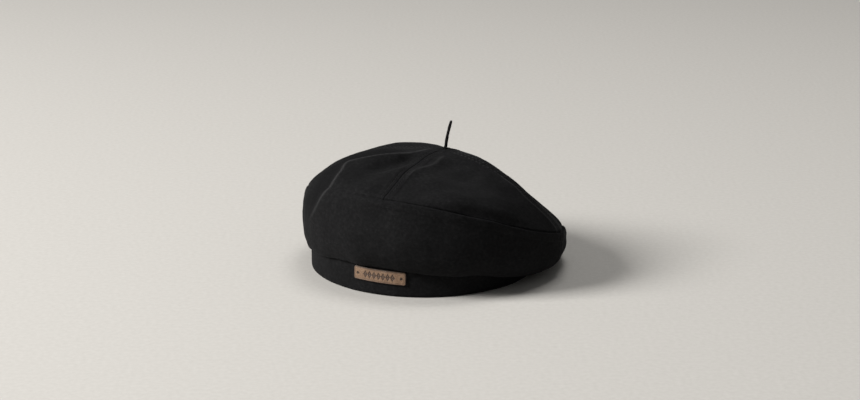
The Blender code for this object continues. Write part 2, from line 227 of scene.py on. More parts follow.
def centred(value, cycle=360.0):
    """A value moved by whole cycles until it lies within half a cycle of zero."""
    return (value + 0.5 * cycle) % cycle - 0.5 * cycle


def walked(line):
    """Distance along a line of points, from its start."""
    return np.concatenate([[0.0], np.cumsum(np.linalg.norm(np.diff(line, axis=0), axis=1))])


def spokes(turn):
    """Level unit vectors at turns in radians from +X."""
    return np.stack([np.cos(turn), np.sin(turn), 0.0 * turn], -1)


def unit(vectors):
    return vectors / np.maximum(np.linalg.norm(vectors, axis=-1, keepdims=True), 1e-12)


def ripple(points, wavelength, seed):
    """Smooth seeded waves of about height 1 at points in space."""
    random = np.random.default_rng(seed)
    total = 0.0
    waves = 9
    for _ in range(waves):
        heading = random.normal(size=3)
        heading /= np.linalg.norm(heading)
        length = wavelength * random.uniform(0.7, 1.5)
        total = total + np.sin(points @ heading * 2.0 * np.pi / length + random.uniform(0.0, 6.28))
    return total / waves**0.5


# ---------------------------------------------------------------- the sewn shape
#
# A place on the wool is an angle around the head and a reach: 0 at the stalk, 1 at the
# rim seam and 2 at the headband's seam, where the cloth has turned under the fold.

# The step of reach that slopes are measured over, and a reach that is just past the rim.
REACH_STEP = 0.01
PAST_RIM = 1e-6


def crown_top(angle, part):
    """Outer face of the top, from the stalk at part 0 to the rim seam at part 1."""
    rim = polar(angle, *guide_pair(angle, "rim"))
    puff = guide_pair(angle, "puff")[0]
    points = STALK_ROOT + (rim - STALK_ROOT) * part[..., None]
    slope = (rim[..., 2] - STALK_ROOT[2]) * part**CROWN_DROP
    points[..., 2] = STALK_ROOT[2] + slope + puff * np.sin(np.pi * part**PUFF_SHIFT)
    return points


def seam_turn(reach):
    """Degrees that the top's seams have swung round, most at the stalk, none at the rim."""
    return SEAM_TURN * np.clip(1.0 - reach, 0.0, 1.0) ** TURN_SHARE


def crown_side(angle, part):
    """Outer face of the side, from the headband's seam at part 0 to the rim seam."""
    rim = guide_pair(angle, "rim")
    side = guide_pair(angle, "side")
    fold = guide_pair(angle, "fold")
    start = BAND_HEIGHT + 0.3 * MM
    tuck = fold[1] - 3.5 * MM
    controls = (
        (BAND_RADIUS, start),
        (BAND_RADIUS, start + 4.0 * MM),
        (BAND_RADIUS + 3.3 * MM, start + 4.5 * MM),
        (BAND_RADIUS + 1.2 * MM, fold[1] + 0.5 * MM),
        (BAND_RADIUS + 1.9 * MM, tuck),
        (fold[0], tuck),
        (side[0], 0.35 * side[1] + 0.65 * fold[1]),
        side,
        (0.5 * (rim[0] + side[0]), 0.5 * (rim[1] + side[1])),
        rim,
    )
    return polar(angle, *open_spline(controls, part))


def plain_shell(angle, reach):
    """Outer face of the whole crown before any fold is sculpted."""
    angle, reach = np.broadcast_arrays(np.asarray(angle, float), np.asarray(reach, float))
    points = np.empty((*angle.shape, 3))
    top = reach <= 1.0
    points[top] = crown_top(angle[top], reach[top])
    points[~top] = crown_side(angle[~top], 2.0 - reach[~top])
    return points


def one_degree(angle, reach):
    """How far, and which way, a place moves over one degree around the head."""
    return plain_shell(angle + 0.5, reach) - plain_shell(angle - 0.5, reach)


def face_normal(angle, reach):
    """Outward normal of the top or the side, without the bend at the rim between them."""
    at_end = (reach > 1.0 - REACH_STEP) & (reach <= 1.0) | (reach > 2.0 - REACH_STEP)
    way = np.where(at_end, -1.0, 1.0)
    place = reach + np.where(reach > 1.0, 1e-9, 0.0)
    along = (plain_shell(angle, place + way * REACH_STEP) - plain_shell(angle, place)) * way[..., None]
    return unit(np.cross(along, one_degree(angle, reach)))


def rim_normals(angle):
    """Outward normals of the top and of the side where they meet at the rim."""
    at_rim = np.ones_like(angle)
    return face_normal(angle, at_rim), face_normal(angle, at_rim + PAST_RIM)


def shell_normal(angle, reach):
    """Outward normal that turns smoothly from the top to the side across the rim."""
    angle, reach = np.broadcast_arrays(np.asarray(angle, float), np.asarray(reach, float))
    rim = unit(sum(rim_normals(angle)))
    share = hill(reach - 1.0, 0.035)[..., None]
    return unit(face_normal(angle, reach) * (1.0 - share) + rim * share)


# ---------------------------------------------------------------- folds and seams

# A fold follows a path of places.  Its height is in millimetres, negative for a valley;
# near is the width towards the smaller angle or the rim, far the width on the other side;
# a crisp fold has a narrow crest, where the nap is worn pale and a highlight is painted.
CRISP = 1.0
CRISP_POWER = 1.4
Fold = namedtuple("Fold", "height near far crest path")
FOLDS = (
    # the crease that divides the slouching back lobe from the front
    Fold(2.8, 3.0, 12.0, 0.6, (
        (-120, 0.09), (-84, 0.12), (-62, 0.19), (-56, 0.3), (-56, 0.4), (-60, 0.55), (-63, 0.68),
        (-64, 0.75), (-57, 0.84), (-52.5, 0.93), (-52, 1.0), (-55, 1.07), (-59.5, 1.15), (-65, 1.22),
        (-72, 1.3),
    )),
    # the lobe behind it, which stands up beside the stalk
    Fold(1.5, 9.0, 9.0, 4.0, (
        (150, 0.16), (182, 0.18), (202, 0.28), (216, 0.4), (232, 0.5), (252, 0.55), (262, 0.62),
    )),
    # valley and soft ridge to the left of the front seam
    Fold(-2.4, 5.5, 5.0, 2.5, (
        (-52, 0.2), (-42, 0.31), (-38, 0.4), (-38, 0.5), (-41, 0.58), (-45, 0.69), (-50, 0.82),
    )),
    Fold(1.8, 5.5, 6.5, 4.0, (
        (-29, 0.36), (-27.5, 0.46), (-27, 0.6), (-29, 0.74), (-32, 0.86), (-39, 0.96),
    )),
    # ridge that leaves the front seam halfway up and runs to the right of the stalk
    Fold(1.1, 2.2, 5.0, 0.8, (
        (8, 0.16), (0, 0.23), (-4, 0.31), (-13, 0.42), (-16.5, 0.5), (-17.5, 0.6), (-17.8, 0.72),
    )),
    # hollow between the stalk and the roll
    Fold(-2.2, 14.0, 13.0, 6.0, ((6, 0.22), (14, 0.38), (24, 0.5), (38, 0.62))),
    # roll above the rim at the right, with a dark valley between it and the seam
    Fold(3.8, 4.5, 15.0, 4.0, (
        (-4, 0.92), (10, 0.91), (22, 0.905), (34, 0.905), (44, 0.915), (53, 0.95),
    )),
    Fold(-2.3, 2.6, 3.2, 1.5, (
        (4, 0.985), (14, 0.975), (26, 0.965), (36, 0.965), (46, 0.975), (56, 0.985),
    )),
    # ridge where the right seam is pulled down over the tip
    Fold(2.2, 9.0, 3.0, 0.8, (
        (62, 0.44), (61, 0.6), (60.5, 0.72), (62.5, 0.84), (65.5, 0.95), (68, 1.05),
    )),
    # fullness behind it, down from the stalk to the tip
    Fold(1.5, 12.0, 12.0, 5.0, ((92, 0.06), (89, 0.22), (86, 0.42), (82, 0.62), (80, 0.78))),
    # the hanging fold rides up over the leather tag
    Fold(-1.7, 7.0, 7.0, 4.0, ((-58, 1.45), (-40, 1.47), (-22, 1.48), (-4, 1.47), (12, 1.45))),
    # soft drapes of the side
    Fold(1.5, 10.0, 14.0, 4.0, ((-40, 1.06), (-36, 1.2), (-30, 1.36), (-22, 1.47))),
    Fold(-1.4, 8.0, 8.0, 4.0, ((34, 1.04), (37, 1.15), (36, 1.3), (31, 1.42))),
    Fold(1.3, 8.0, 10.0, 4.0, ((50, 1.08), (47, 1.2), (40, 1.34), (33, 1.45))),
    # the side and back that the slouch gathers
    Fold(2.4, 9.0, 6.0, 2.0, ((98, 0.42), (104, 0.62), (101, 0.8), (93, 0.95), (88, 1.08), (86, 1.24))),
    Fold(-0.7, 7.0, 7.0, 3.0, ((113, 0.4), (119, 0.6), (117, 0.78), (110, 0.95), (106, 1.12))),
    Fold(2.6, 8.0, 10.0, 2.0, (
        (150, 0.3), (143, 0.5), (133, 0.68), (126, 0.84), (124, 1.0), (128, 1.18),
    )),
    Fold(-0.8, 6.0, 8.0, 3.0, (
        (178, 0.36), (170, 0.54), (156, 0.7), (148, 0.86), (146, 1.04), (150, 1.2),
    )),
    Fold(2.2, 7.0, 9.0, 2.0, ((207, 0.6), (202, 0.7), (195, 0.8), (190, 0.9), (192, 1.04), (199, 1.22))),
    Fold(-1.8, 8.0, 6.0, 3.0, ((230, 0.64), (224, 0.74), (217, 0.84), (213, 0.94), (217, 1.1))),
    Fold(1.8, 8.0, 8.0, 3.0, ((252, 0.66), (244, 0.76), (238, 0.88), (240, 1.04), (246, 1.2))),
)
CREASE = FOLDS[0]
FOLD_STEPS = 120
RUBBED_HIGHLIGHT_WIDTH = 1.05 * MM

# How wide a seam holds the folds down, and by what share.
SEAM_HOLD = 5.0 * MM
SEAM_HOLD_SHARE = 0.65

# Thick corners where a seam of the top runs into the rim seam.
CORNER_HEIGHT = 0.5 * MM
CORNER_WIDTH = 3.2 * MM

# The rim is pressed flat and round at the left front, and only softened elsewhere.
ROUND_ANGLE = -64.0
ROUND_SPREAD = 40.0
ROUND_WIDTH = 2.5 * MM
ROUND_MORE = 14.0 * MM
PRESSED_SHARE = 0.85

# Slack of the wool everywhere: height in millimetres, wavelength in millimetres, seed.
SLACK = ((0.55, 62.0, 3), (0.22, 24.0, 5), (0.05, 8.0, 7))


def fold_line(fold):
    """Points along a fold on the plain sewn shape."""
    path = smooth_path(fold.path, FOLD_STEPS)
    return plain_shell(path[:, 0], path[:, 1])


def fold_lift(points, normals, fold):
    """How far one fold lifts the cloth at each point."""
    line = fold_line(fold)
    tangents = unit(np.gradient(line, axis=0))
    length = walked(line)
    widest = max(fold.near, fold.far) * MM
    lift = np.zeros(len(points))
    low = line.min(0) - 3.0 * widest
    high = line.max(0) + 3.0 * widest
    close = np.flatnonzero(((points > low) & (points < high)).all(1))
    gaps = np.linalg.norm(points[close, None] - line[None], axis=2)
    nearest = gaps.argmin(1)
    across = np.cross(normals[close], tangents[nearest])
    side = ((points[close] - line[nearest]) * across).sum(1)
    crest = fold.crest * MM
    distance = np.sqrt(gaps.min(1) ** 2 + crest**2) - crest
    width = np.where(side > 0.0, fold.far, fold.near) * MM
    shape = np.exp(-((distance / width) ** (CRISP_POWER if fold.crest < CRISP else 2.0)))
    ends = ease(0.0, 0.3 * length[-1], length[nearest])
    ends = ends * ease(0.0, 0.3 * length[-1], length[-1] - length[nearest])
    lift[close] = fold.height * MM * shape * ends
    return lift


def rubbed_and_highlight(angle, reach):
    """How pale the crests of the crisp folds are made, from 0 to 1: worn nap and a painted highlight."""
    points = plain_shell(angle, reach)
    total = np.zeros(angle.shape)
    for fold in FOLDS:
        if fold.crest < CRISP:
            gaps = np.linalg.norm(points[..., None, :] - fold_line(fold), axis=-1)
            share = gaps.argmin(-1) / (FOLD_STEPS - 1.0)
            ends = ease(0.0, 0.12, share) * ease(0.0, 0.25, 1.0 - share)
            mark = hill(gaps.min(-1), RUBBED_HIGHLIGHT_WIDTH) * ends * min(0.4 * fold.height, 1.0)
            total = np.maximum(total, mark)
    return total


def painted_crease_shade(angle, reach):
    """How much shade is painted into the wool's colour in the hollow behind the crease, from 0 to 1."""
    path = smooth_path(CREASE.path, FOLD_STEPS)
    behind = centred(np.interp(reach, path[:, 1], path[:, 0]) - angle)
    near = ease(0.0, 3.0, behind) * ease(-60.0, -15.0, -behind)
    return near * ease(0.22, 0.45, reach) * ease(-1.35, -1.1, -reach)


def seam_profile(distance, along, stitched):
    """Height of the cloth beside a pressed-open seam, and the dips of its topstitching."""
    groove = -0.42 * hill(distance, 0.5 * MM)
    allowance = 0.28 * ease(-7.0 * MM, -6.0 * MM, -np.abs(distance))
    pucker = 0.11 * np.sin(along / (7.3 * MM) * 2.0 * np.pi) * np.exp(-np.abs(distance) / (6.0 * MM))
    total = groove + allowance + pucker
    if stitched:
        pull = 0.75 + 0.25 * np.cos(along / STITCH_PITCH * 2.0 * np.pi)
        total = total - 0.27 * hill(np.abs(distance) - TOPSTITCH, 0.5 * MM) * pull
    return total * MM


def rim_profile(distance):
    """Height beside the rim seam: the top dips to it, the side's thick edge stands out."""
    top = -0.6 * hill(distance, 3.2 * MM) - 1.0 * hill(distance + 0.9 * MM, 0.8 * MM)
    side = 0.6 * ease(0.1 * MM, 0.7 * MM, distance) * ease(-8.5 * MM, -6.5 * MM, -distance)
    return np.where(distance < 0.0, top, side - 1.0 * hill(distance + 0.3 * MM, 0.8 * MM)) * MM


def rounding(angle, distance, width):
    """How far the sharp turn at the rim is cut back to become an arc of a given half width."""
    top, side = rim_normals(angle)
    slope = np.tan(0.5 * np.arccos(np.clip((top * side).sum(-1), -1.0, 1.0)))
    return 0.5 * slope * width * np.clip(1.0 - np.abs(distance) / width, 0.0, None) ** 2


def arc_length(angle, reach):
    """Length of one degree around the head at a place."""
    return np.linalg.norm(one_degree(angle, reach), axis=-1)


def seam_distance(angle, reach, spacing):
    """Distance around the head to the nearest seam of a set."""
    return centred(angle - FIRST_SEAM, spacing) * arc_length(angle, reach)


def cloth_lift(angle, reach, points, normals):
    """How far the sculpted cloth stands off the plain sewn shape."""
    lift = 0.0
    for height, wavelength, seed in SLACK:
        lift = lift + height * MM * ripple(points, wavelength * MM, seed)
    top = reach <= 1.0
    from_seam = seam_distance(angle - seam_turn(reach), reach, QUARTER)
    held = SEAM_HOLD_SHARE * hill(from_seam, SEAM_HOLD) * np.where(top, 1.0, 0.0)
    lift = lift + (1.0 - held) * sum(fold_lift(points, normals, fold) for fold in FOLDS)

    from_stalk = np.linalg.norm(points - STALK_ROOT, axis=-1)
    half = 0.5 * REACH_STEP
    drop = plain_shell(angle, reach + half) - plain_shell(angle, reach - half)
    to_rim = (reach - 1.0) * np.linalg.norm(drop, axis=-1) / REACH_STEP
    pressed = np.exp(-((centred(angle - ROUND_ANGLE) / ROUND_SPREAD) ** 4))
    radial = seam_profile(from_seam, from_stalk, True)
    upright = seam_profile(seam_distance(angle, reach, 2.0 * QUARTER), to_rim, False)
    near_stalk = ease(4.0 * MM, 12.0 * MM, from_stalk)
    lift = lift + np.where(top, radial * near_stalk, upright)
    lift = lift + rim_profile(to_rim) * (1.0 - PRESSED_SHARE * pressed)
    lift = lift - rounding(angle, to_rim, ROUND_WIDTH + ROUND_MORE * pressed)

    corner = np.hypot(seam_distance(angle, np.ones_like(reach), QUARTER), to_rim)
    lift = lift + CORNER_HEIGHT * hill(corner, CORNER_WIDTH)

    gather = 0.35 * MM * np.cos(np.radians(9.0 * angle)) * np.exp(-from_stalk / (7.0 * MM))
    lift = lift + gather * ease(1.5 * MM, 4.0 * MM, from_stalk) + 0.9 * MM * hill(from_stalk, 7.0 * MM)
    return lift * ease(-1.66, -1.5, -reach)


def cloth(angle, reach):
    """Sculpted outer face of the wool and the normals that its thickness is laid off along."""
    angle, reach = np.broadcast_arrays(np.asarray(angle, float), np.asarray(reach, float))
    flat_angle = angle.ravel()
    flat_reach = reach.ravel()
    points = plain_shell(flat_angle, flat_reach)
    normals = shell_normal(flat_angle, flat_reach)
    lift = cloth_lift(flat_angle, flat_reach, points, normals)
    points = points + normals * lift[:, None]
    return points.reshape(*angle.shape, 3), normals.reshape(*angle.shape, 3)


# ---------------------------------------------------------------- mesh building


def make_mesh(name, points, faces, material, uvs=None, marks=None, sharp=50.0):
    """A mesh object from arrays.  uvs has one pair for each face corner."""
    mesh = bpy.data.meshes.new(name)
    mesh.from_pydata(points.tolist(), [], faces)
    if uvs is not None:
        layer = mesh.uv_layers.new(name="cloth")
        layer.data.foreach_set("uv", np.asarray(uvs, np.float32).ravel())
    for mark, values in (marks or {}).items():
        attribute = mesh.attributes.new(mark, "FLOAT", "POINT")
        attribute.data.foreach_set("value", np.asarray(values, np.float32).ravel())
    mesh.shade_smooth()
    mesh.set_sharp_from_angle(angle=np.radians(sharp))
    mesh.materials.append(material)
    piece = bpy.data.objects.new(name, mesh)
    bpy.context.scene.collection.objects.link(piece)
    return piece


def loft(sections, closed, start=0):
    """Faces that join closed outlines, one after the other, into a closed skin."""
    count, size = sections
    index = np.arange(count * size).reshape(count, size) + start
    if closed:
        index = np.vstack([index, index[:1]])
    near, far = index[:-1], index[1:]
    after_near, after_far = np.roll(near, -1, 1), np.roll(far, -1, 1)
    faces = np.stack([near, far, after_far, after_near], -1).reshape(-1, 4).tolist()
    if not closed:
        for row, flip in ((index[0], False), (index[-1], True)):
            for place in range(size // 2 - 1):
                strip = [row[place], row[place + 1], row[-place - 2], row[-place - 1]]
                faces.append([int(corner) for corner in (strip[::-1] if flip else strip)])
    return faces


def lofted(name, sections, material, closed=False, flat=None, marks=None, sharp=50.0):
    """A closed skin through sections of shape (count, size, 3), with flat cloth coordinates.

    flat has shape (count, size, 2), or one section more where the skin is closed.
    """
    count, size = sections.shape[:2]
    faces = loft((count, size), closed)
    uvs = None
    if flat is not None:
        corners = np.array(faces)
        values = flat[:count].reshape(-1, 2)[corners]
        if closed:
            last = corners // size
            wrapped = (last.min(1) == 0) & (last.max(1) == count - 1)
            step = flat[count, 0] - flat[0, 0]
            values[wrapped] += np.where((last[wrapped] == 0)[..., None], step, 0.0)
        uvs = values.reshape(-1, 2)
    return make_mesh(name, sections.reshape(-1, 3), faces, material, uvs, marks, sharp)


def two_faced(outer, inner):
    """Rows of an outer face, each closed by its row of the inner face."""
    return np.concatenate([outer, inner[:, ::-1]], 1)


def along_line(places, along, values):
    """Points or normals of a line at given distances along it."""
    return np.stack([np.interp(places, along, values[:, axis]) for axis in range(3)], -1)


def thread_row(line, normals, radius, length=STITCH_LENGTH, pitch=STITCH_PITCH, proud=0.1 * MM):
    """Stitches along a line: short humps of thread whose ends dive into the cloth."""
    along = walked(line)
    count = int((along[-1] - length) // pitch) + 1
    starts = np.arange(count) * pitch + 0.5 * (along[-1] - (count - 1) * pitch - length)
    parts = np.linspace(0.0, 1.0, STITCH_RINGS)
    places = starts[:, None] + parts * length
    ups = unit(along_line(places, along, normals))
    hump = proud + radius * (np.sin(np.pi * parts) ** 0.7 * 1.5 - 1.35)
    centres = along_line(places, along, line) + ups * hump[:, None]
    ahead = unit(np.gradient(centres, axis=1))
    sides = unit(np.cross(ahead, ups))
    ups = np.cross(sides, ahead)
    turns = np.linspace(0.0, 2.0 * np.pi, STITCH_SIDES, endpoint=False)[:, None]
    thickness = radius * np.sqrt(np.maximum(1.0 - (2.0 * parts - 1.0) ** 4, 0.06))
    rings = np.cos(turns) * sides[:, :, None] + np.sin(turns) * ups[:, :, None]
    return centres[:, :, None] + rings * thickness[:, None, None]


def threads(name, rows, material):
    """One object made of many separate closed stitches."""
    points = []
    faces = []
    total = 0
    for rings in rows:
        for stitch in rings:
            faces += loft(stitch.shape[:2], False, total)
            points.append(stitch.reshape(-1, 3))
            total += stitch.shape[0] * stitch.shape[1]
    return make_mesh(name, np.vstack(points), faces, material, sharp=80.0)


def finish_piece(piece, body="hat", nodes=()):
    """Parent a piece to its body's empty and hide the CAD nodes that it stands for."""
    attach(piece, body)
    if nodes:
        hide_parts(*nodes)
    return piece


# ---------------------------------------------------------------- materials


class Look:
    """A node material under construction, mapped by the place on the object."""

    def __init__(self, name):
        self.material = bpy.data.materials.new(name)
        self.material.use_nodes = True
        self.tree = self.material.node_tree
        self.place = self.add("TexCoord").outputs["Object"]

    def add(self, kind, inputs=None, **settings):
        """Add a node; an input is a value or the socket that feeds it."""
        made = self.tree.nodes.new("ShaderNode" + kind)
        for name, value in settings.items():
            setattr(made, name, value)
        self.connect(made, inputs or {})
        return made

    def connect(self, made, inputs):
        for name, value in inputs.items():
            if isinstance(value, bpy.types.NodeSocket):
                self.tree.links.new(value, made.inputs[name])
            else:
                made.inputs[name].default_value = value

    def cloth(self):
        """The flat coordinates of a cloth piece, in metres."""
        return self.add("UVMap", uv_map="cloth").outputs["UV"]

    def mark(self, name):
        """A value from 0 to 1 that the mesh holds at its points."""
        return self.add("Attribute", attribute_name=name).outputs["Fac"]

    def maths(self, operation, first, second):
        """One sum on two values or sockets."""
        return self.add("Math", {0: first, 1: second}, operation=operation).outputs[0]

    def times(self, first, second):
        return self.maths("MULTIPLY", first, second)

    def weighted(self, *terms):
        """Sum of sockets, each times its weight."""
        total, *parts = [self.times(value, weight) for value, weight in terms]
        for part in parts:
            total = self.maths("ADD", total, part)
        return total

    def noise(self, size, detail=3.0, distortion=0.0):
        """Noise with features of a given size in metres."""
        inputs = {"Scale": 1.0 / size, "Detail": detail, "Distortion": distortion}
        return self.add("TexNoise", {"Vector": self.place, **inputs}).outputs["Fac"]

    def stripes(self, coordinates, pitch, direction, distortion):
        """Bands of a given pitch in metres across one axis of the coordinates."""
        scale = 2.0 * np.pi / (20.0 if direction != "DIAGONAL" else 10.0) / pitch
        inputs = {"Scale": scale, "Distortion": distortion, "Detail": 1.0, "Detail Scale": 2.0}
        inputs["Vector"] = coordinates
        return self.add("TexWave", inputs, bands_direction=direction).outputs["Fac"]

    def level(self, value, low, high, new_low=0.0, new_high=1.0):
        """Move a value from one range to another, and hold it there."""
        inputs = {"Value": value, 1: low, 2: high, 3: new_low, 4: new_high}
        return self.add("MapRange", inputs).outputs[0]

    def spread(self, noise, new_low, new_high):
        """Stretch the range that noise mostly keeps to over a new one."""
        return self.level(noise, 0.3, 0.7, new_low, new_high)

    def ramp(self, value, *stops):
        """Colour ramp through (place, colour) stops."""
        made = self.add("ValToRGB", {"Fac": value})
        elements = made.color_ramp.elements
        for element, (place, colour) in zip(elements, (stops[0], stops[-1])):
            element.position = place
            element.color = (*colour, 1.0)
        for place, colour in stops[1:-1]:
            elements.new(place).color = (*colour, 1.0)
        return made.outputs["Color"]

    def mixed(self, share, first, second):
        """A colour socket turned towards a fixed colour."""
        inputs = {"Fac": share, "Color1": first, "Color2": (*second, 1.0)}
        return self.add("MixRGB", inputs).outputs[0]

    def finished(self, colour, roughness, shine, height=None, depth=0.0, strength=1.0):
        """Feed the shader, with a relief of a given depth where there is one."""
        shader = self.tree.nodes["Principled BSDF"]
        self.connect(shader, {"Base Color": colour, "Roughness": roughness, **shine})
        if height is not None:
            relief = self.add("Bump", {"Height": height, "Distance": depth, "Strength": strength})
            self.connect(shader, {"Normal": relief.outputs["Normal"]})
        return self.material


def wool_material():
    """Dense charcoal wool: a fine twill under a brushed nap, with paler stray fibres."""
    look = Look("charcoal wool")
    flat = look.cloth()
    twill = look.stripes(flat, 1.1 * MM, "DIAGONAL", 1.2)
    threads_across = look.stripes(flat, 0.55 * MM, "Y", 0.8)
    nap = look.noise(0.7 * MM, 5.0, 0.6)
    fuzz = look.noise(0.25 * MM, 2.0)
    patches = look.noise(22.0 * MM)
    mottle = look.noise(2.6 * MM, 2.0)
    slanted = {"Vector": flat, "Scale": (260.0, 2400.0, 1.0), "Rotation": (0.0, 0.0, 0.5)}
    stretched = look.add("Mapping", slanted).outputs[0]
    fibres = {"Vector": stretched, "Scale": 1.0, "Detail": 2.0, "Distortion": 1.2}
    stray = look.level(look.add("TexNoise", fibres).outputs["Fac"], 0.64, 0.74)

    weave = look.weighted((twill, 0.35), (threads_across, 0.15))
    mixed = look.weighted((nap, 0.75), (weave, 0.35))
    tone = look.weighted((patches, 0.2), (mottle, 0.45), (mixed, 0.45))
    dark = (0.0040, 0.0040, 0.0044)
    middle = (0.0085, 0.0085, 0.0090)
    pale = (0.019, 0.0188, 0.0195)
    base = look.ramp(tone, (0.3, dark), (0.55, middle), (0.85, pale))
    # painted shade: the wool's colour is darkened behind the crease, where the overlapping fold would
    # shade it
    base = look.mixed(look.times(look.mark("painted_crease_shade"), 0.75), base, dark)
    # worn nap and painted highlight: the crests of crisp folds are made paler
    worn = look.times(look.mark("rubbed_and_highlight"), look.spread(nap, 0.65, 1.0))
    base = look.mixed(worn, base, (0.039, 0.039, 0.040))
    base = look.mixed(look.times(stray, 0.3), base, (0.05, 0.05, 0.053))
    height = look.weighted((mixed, 1.0), (fuzz, 0.35), (stray, 0.25))
    shine = {"Specular IOR Level": 0.05, "Sheen Weight": 0.035}
    shine.update({"Sheen Roughness": 0.35, "Sheen Tint": (0.5, 0.5, 0.53, 1.0)})
    return look.finished(base, look.spread(nap, 0.82, 0.97), shine, height, 0.16 * MM, 0.9)


def thread_material(name, colour, sheen=0.2, gloss=0.5):
    """Twisted sewing thread."""
    look = Look(name)
    twist = look.stripes(look.place, 0.5 * MM, "DIAGONAL", 0.6)
    lint = look.noise(0.3 * MM)
    tone = look.weighted((twist, 0.6), (lint, 0.4))
    dark = tuple(0.55 * value for value in colour)
    base = look.ramp(tone, (0.2, dark), (0.8, colour))
    shine = {"Specular IOR Level": gloss, "Sheen Weight": sheen}
    return look.finished(base, look.spread(lint, 0.5, 0.75), shine, tone, 0.08 * MM, 0.8)


def leather_material():
    """Vegetable-tanned tan leather with pores, faint mottling and dark edges: a leather burnish and a
    painted shadow outline.
    """
    look = Look("tan leather")
    edge = look.mark("edge")
    cells = {"Vector": look.place, "Scale": 1.0 / (0.42 * MM)}
    gaps = look.add("TexVoronoi", cells, feature="DISTANCE_TO_EDGE").outputs["Distance"]
    pores = look.level(gaps, 0.0, 0.16)
    grain = look.noise(0.9 * MM, 5.0, 0.4)
    cloud = look.noise(6.0 * MM)
    tone = look.weighted((grain, 0.55), (cloud, 0.45))
    tans = ((0.3, (0.105, 0.057, 0.031)), (0.5, (0.20, 0.122, 0.073)), (0.72, (0.32, 0.213, 0.137)))
    base = look.ramp(tone, *tans)
    pits = look.times(look.maths("SUBTRACT", 1.0, pores), 0.35)
    base = look.mixed(pits, base, (0.13, 0.06, 0.028))
    # dark edge band: leather burnish, widened as a painted shadow round the tag
    burnish_and_shadow = look.times(edge, look.spread(grain, 0.75, 1.0))
    base = look.mixed(burnish_and_shadow, base, (0.016, 0.008, 0.005))
    base = look.mixed(look.mark("pressed"), base, (0.019, 0.008, 0.005))
    rough = look.maths("SUBTRACT", look.spread(grain, 0.62, 0.48), look.times(edge, 0.12))
    height = look.weighted((pores, 0.6), (grain, 0.5))
    shine = {"Specular IOR Level": 0.45, "Sheen Weight": 0.06}
    return look.finished(base, rough, shine, height, 0.07 * MM, 0.8)


def grosgrain_material():
    """Black ribbed ribbon: fine threads across real ribs."""
    look = Look("black grosgrain")
    weft = look.stripes(look.cloth(), 0.42 * MM, "Y", 0.5)
    lint = look.noise(0.5 * MM, 4.0)
    worn = look.noise(14.0 * MM)
    tone = look.weighted((weft, 0.4), (lint, 0.4), (worn, 0.3))
    base = look.ramp(tone, (0.25, (0.0055, 0.0055, 0.006)), (0.85, (0.020, 0.020, 0.021)))
    rough = look.level(tone, 0.3, 0.8, 0.5, 0.78)
    shine = {"Sheen Weight": 0.25, "Anisotropic": 0.4}
    return look.finished(base, rough, shine, tone, 0.1 * MM, 0.8)


def satin_material():
    """Black satin lining with long floating threads and soft uneven shine."""
    look = Look("black satin")
    floats = look.stripes(look.cloth(), 0.3 * MM, "X", 1.0)
    slubs = look.noise(3.0 * MM, 4.0, 0.5)
    tone = look.weighted((floats, 0.35), (slubs, 0.65))
    base = look.ramp(tone, (0.2, (0.008, 0.008, 0.0095)), (0.8, (0.024, 0.024, 0.027)))
    shine = {"Specular IOR Level": 0.6, "Anisotropic": 0.6, "Sheen Weight": 0.15}
    return look.finished(base, look.spread(slubs, 0.28, 0.46), shine, tone, 0.05 * MM, 0.6)


def label_material():
    """Undyed woven tape with a fine warp and a faint yellowing."""
    look = Look("woven label")
    flat = look.cloth()
    warp = look.stripes(flat, 0.32 * MM, "X", 0.3)
    weft = look.stripes(flat, 0.26 * MM, "Y", 0.3)
    soil = look.noise(5.0 * MM)
    weave = look.times(warp, weft)
    tone = look.weighted((weave, 0.5), (soil, 0.5))
    base = look.ramp(tone, (0.15, (0.44, 0.42, 0.37)), (0.75, (0.72, 0.70, 0.65)))
    rough = look.level(weave, 0.0, 1.0, 0.85, 0.6)
    return look.finished(base, rough, {"Sheen Weight": 0.2}, weave, 0.06 * MM, 0.9)


def stiffener_material():
    """Bonded non-woven: tangled fibres with rows of heat-bonded dots."""
    look = Look("bonded stiffener")
    fibres = look.noise(0.8 * MM, 6.0, 2.5)
    dots = {"Vector": look.place, "Scale": 1.0 / (1.6 * MM), "Randomness": 0.15}
    bonded = look.level(look.add("TexVoronoi", dots).outputs["Distance"], 0.12, 0.3)
    tone = look.times(fibres, look.level(bonded, 0.0, 1.0, 0.7, 1.0))
    base = look.ramp(tone, (0.2, (0.38, 0.37, 0.35)), (0.7, (0.66, 0.65, 0.62)))
    return look.finished(base, look.spread(fibres, 0.75, 0.95), {}, tone, 0.15 * MM, 0.8)


def floor_material():
    """Pale matt studio paper."""
    look = Look("studio floor")
    grain = look.noise(4.0 * MM, 4.0)
    base = look.ramp(grain, (0.3, (0.53, 0.515, 0.49)), (0.7, (0.57, 0.555, 0.53)))
    return look.finished(base, 0.95, {"Specular IOR Level": 0.1})


# ---------------------------------------------------------------- wool crown


def crowded(count, ends):
    """Places from 0 to 1 that stand closer together at both ends."""
    share = np.linspace(0.0, 1.0, count)
    return share - ends * np.sin(2.0 * np.pi * share) / (2.0 * np.pi)


# The radius at which the flat width of the side is laid off.
MEAN_SIDE_RADIUS = 1.12 * BAND_RADIUS


